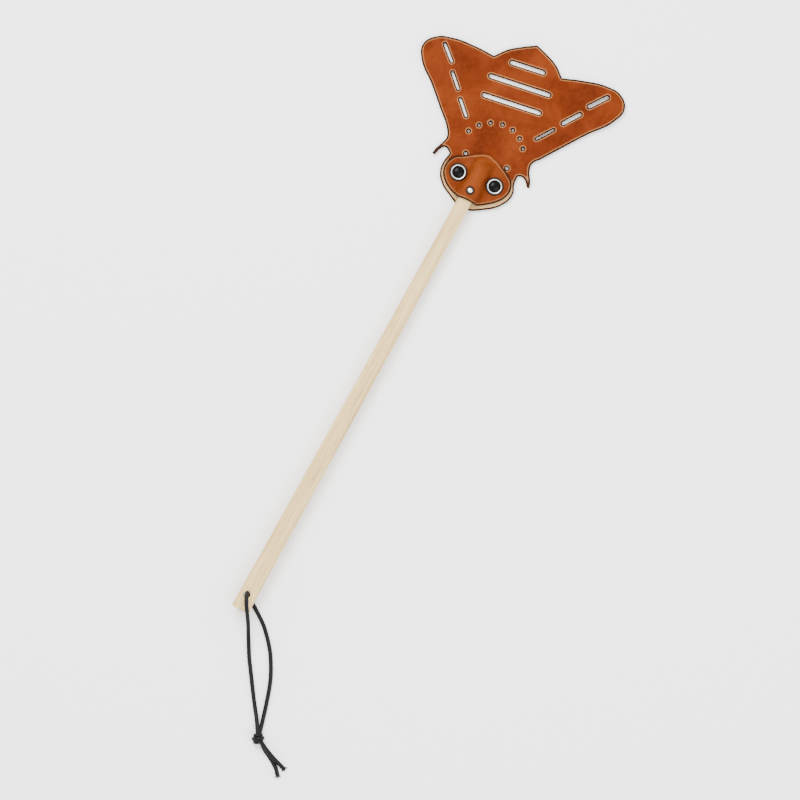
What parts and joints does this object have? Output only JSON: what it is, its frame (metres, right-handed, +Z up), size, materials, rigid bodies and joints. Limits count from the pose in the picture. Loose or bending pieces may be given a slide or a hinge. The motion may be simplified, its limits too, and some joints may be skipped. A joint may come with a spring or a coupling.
{
  "type": "fly swatter",
  "caption": "Fly swatter: a tapered wooden stick, a flat leather head cut like a fly with a domed face and eyelet eyes, and a knotted hanging cord through its butt.",
  "frame": {"origin": "on the table that the swatter lies on, under the middle of the stick and head's box; the cord is not counted", "axes": "+X across the head to the right seen from above, +Y along the stick from its butt to the head, +Z up from the table, face side up"},
  "size_m": [0.1569, 0.5294, 0.0232],
  "materials": {
    "beech": "smooth unvarnished beech",
    "body_leather": "orange-brown mottled cowhide with dark cut edges",
    "face_leather": "orange-brown mottled cowhide, moulded over the stick",
    "nickel": "bright nickel plate",
    "cord": "round braided cord, slightly glossy",
    "pupil": "glossy black"
  },
  "bodies": {
    "handle": {"handle": "beech", "body_leather_back": "body_leather", "face_flap": "face_leather", "eyelet_left": "nickel", "eyelet_right": "nickel", "pupil_left": "pupil", "pupil_right": "pupil", "eyelet_washer_left": "nickel", "eyelet_washer_right": "nickel", "nose_rivet": "nickel", "rivet_burr": "nickel"},
    "wings": {"body_leather_wings": "body_leather"},
    "cord_loop": {"cord_bend": "cord", "cord_front": "cord", "cord_back": "cord", "cord_knot": "cord", "cord_tail_a": "cord", "cord_tail_b": "cord"}
  },
  "joints": [
    {"name": "head_flex", "type": "hinge", "parent": "handle", "child": "wings", "pos_m": [0.00427, 0.14044, 0.0014], "axis": [0.9832, 0.1828, 0], "range_deg": [-40, 40], "stiffness_Nm_per_rad": 0.5},
    {"name": "loop_swing", "type": "hinge", "parent": "handle", "child": "cord_loop", "pos_m": [0.00438, -0.20826, 0.00965], "axis": [0, 0, 1], "range_deg": [-150, 120]}
  ]
}
